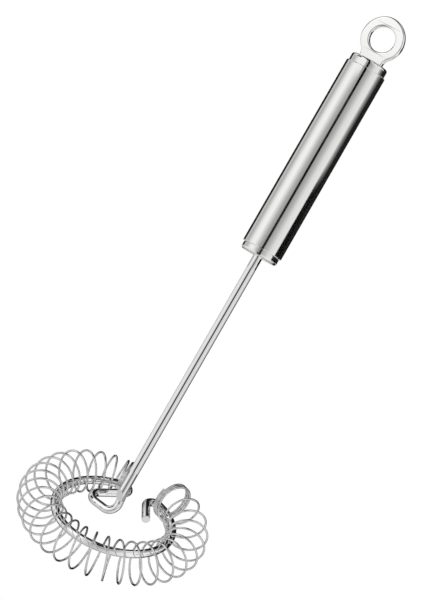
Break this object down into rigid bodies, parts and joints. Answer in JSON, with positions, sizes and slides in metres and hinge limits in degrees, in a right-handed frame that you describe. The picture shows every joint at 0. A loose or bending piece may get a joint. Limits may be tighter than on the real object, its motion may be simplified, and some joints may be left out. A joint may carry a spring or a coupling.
{
  "type": "spiral whisk",
  "caption": "Hand whisk with a tubular steel handle, a hanging eye, a straight stem and a long wire spring threaded round a tilted, open wire ring.",
  "frame": {"origin": "centre of the hanging eye", "axes": "+Z along the handle, from the head to the eye; the whisk's front, the side towards which the ring drops, faces -Y; +X is the whisk's right seen from the front"},
  "size_m": [0.0835, 0.0693, 0.2713],
  "materials": {
    "satin_tube": "satin stainless steel",
    "satin_caps": "satin stainless steel",
    "satin_eye": "pale satin stainless steel",
    "polished_stem": "polished stainless steel",
    "polished_ring": "polished stainless steel",
    "bright_spring": "bright drawn spring wire"
  },
  "bodies": {
    "handle": {"grip_tube": "satin_tube", "top_cap": "satin_caps", "bottom_cap": "satin_caps", "hanging_eye": "satin_eye", "stem_rod": "polished_stem", "ring_wire": "polished_ring"},
    "spring": {"spiral_spring": "bright_spring"}
  },
  "joints": [
    {"name": "spring_shuffle", "type": "hinge", "parent": "handle", "child": "spring", "pos_m": [0.0013, 0.002, -0.2335], "axis": [0, -0.5736, 0.8192], "range_deg": [-1, 1]}
  ]
}
